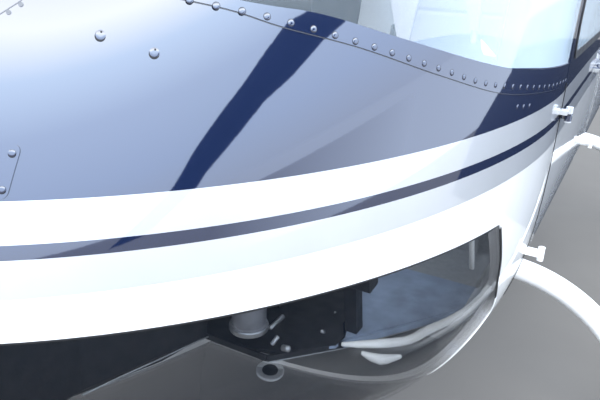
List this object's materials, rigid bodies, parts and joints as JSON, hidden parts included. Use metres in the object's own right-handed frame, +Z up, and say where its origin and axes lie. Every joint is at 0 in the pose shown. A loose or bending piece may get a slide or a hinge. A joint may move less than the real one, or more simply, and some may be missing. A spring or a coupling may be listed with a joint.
{
  "type": "light helicopter",
  "caption": "Light single-turbine helicopter with a two-blade rotor on skid gear: hollow glazed cabin, hinged doors, turning main and tail rotors.",
  "frame": {"origin": "on the ground, under the middle of the overall box", "axes": "+Y rearward along the fuselage, +Z up, +X to port"},
  "size_m": [2.0558, 11.82, 2.91],
  "materials": {
    "paint_navy": "glossy metallic navy lacquer",
    "paint_white": "glossy white lacquer",
    "glass": "clear acrylic",
    "tinted_glass": "tinted acrylic",
    "exhaust_steel": "heat-stained steel",
    "bare_metal": "machined and grey primed",
    "steel": "bare steel",
    "blade_paint": "satin grey",
    "cabin_grey": "grey trim",
    "seat_cloth": "beige woven cloth",
    "panel_black": "matt black"
  },
  "bodies": {
    "airframe": {"nose_shell": "paint_navy", "belly_shell": "paint_white", "roof_shell": "paint_navy", "roof_windows": "tinted_glass", "rear_bulkhead": "paint_white", "door_frame_left": "paint_white", "door_frame_right": "paint_white", "windshield_post": "paint_navy", "windshield_left": "glass", "windshield_right": "glass", "chin_window_left": "glass", "chin_window_right": "glass", "aft_fuselage": "paint_white", "gearbox_fairing": "paint_navy", "engine_cowling": "paint_navy", "exhaust_stacks": "exhaust_steel", "engine": "bare_metal", "main_gearbox": "bare_metal", "swashplate_base": "bare_metal", "tail_boom": "paint_white", "shaft_cover": "paint_navy", "stabilizer": "paint_white", "vertical_fin": "paint_white", "tail_skid": "steel", "tail_gearbox": "bare_metal", "front_crosstube": "paint_white", "rear_crosstube": "paint_white", "skid_left": "paint_white", "skid_right": "paint_white", "cabin_floor": "cabin_grey", "front_seats": "cabin_grey", "front_cushions": "seat_cloth", "rear_bench": "cabin_grey", "rear_cushions": "seat_cloth", "instrument_panel": "panel_black", "control_column": "cabin_grey", "cyclic_sticks": "panel_black", "collective_levers": "panel_black", "pedals": "panel_black", "nose_compartment": "panel_black"},
    "main_rotor": {"mast": "steel", "pitch_links": "steel", "rotor_hub": "bare_metal", "main_blades": "blade_paint"},
    "tail_rotor_disc": {"tail_rotor": "blade_paint"},
    "crew_door_left_leaf": {"crew_door_left": "paint_white", "crew_door_glass_left": "glass"},
    "crew_door_right_leaf": {"crew_door_right": "paint_white", "crew_door_glass_right": "glass"},
    "cabin_door_left_leaf": {"cabin_door_left": "paint_white", "cabin_door_glass_left": "glass"},
    "cabin_door_right_leaf": {"cabin_door_right": "paint_white", "cabin_door_glass_right": "glass"},
    "baggage_door_leaf": {"baggage_door": "paint_white"}
  },
  "joints": [
    {"name": "main_rotor_spin", "type": "hinge", "parent": "airframe", "child": "main_rotor", "pos_m": [0, -0.83, 2.835], "axis": [0, 0, 1], "continuous": true},
    {"name": "tail_rotor_spin", "type": "hinge", "parent": "airframe", "child": "tail_rotor_disc", "pos_m": [0.33, 5.085, 1.93], "axis": [1, 0, 0], "continuous": true},
    {"name": "crew_door_left_hinge", "type": "hinge", "parent": "airframe", "child": "crew_door_left_leaf", "pos_m": [0.674, -2.627, 1.06], "axis": [0, 0, -1], "range_deg": [0, 80]},
    {"name": "cabin_door_left_hinge", "type": "hinge", "parent": "airframe", "child": "cabin_door_left_leaf", "pos_m": [0.674, -1.721, 1.06], "axis": [0, 0, -1], "range_deg": [0, 80]},
    {"name": "crew_door_right_hinge", "type": "hinge", "parent": "airframe", "child": "crew_door_right_leaf", "pos_m": [-0.674, -2.627, 1.06], "axis": [0, 0, 1], "range_deg": [0, 80]},
    {"name": "cabin_door_right_hinge", "type": "hinge", "parent": "airframe", "child": "cabin_door_right_leaf", "pos_m": [-0.674, -1.721, 1.06], "axis": [0, 0, 1], "range_deg": [0, 80]},
    {"name": "baggage_door_hinge", "type": "hinge", "parent": "airframe", "child": "baggage_door_leaf", "pos_m": [0.655, -0.413, 1.17], "axis": [0, 0, -1], "range_deg": [0, 90]}
  ],
  "couplings": [
    {"joint": "tail_rotor_spin", "follows": "main_rotor_spin", "ratio": -6.47}
  ]
}
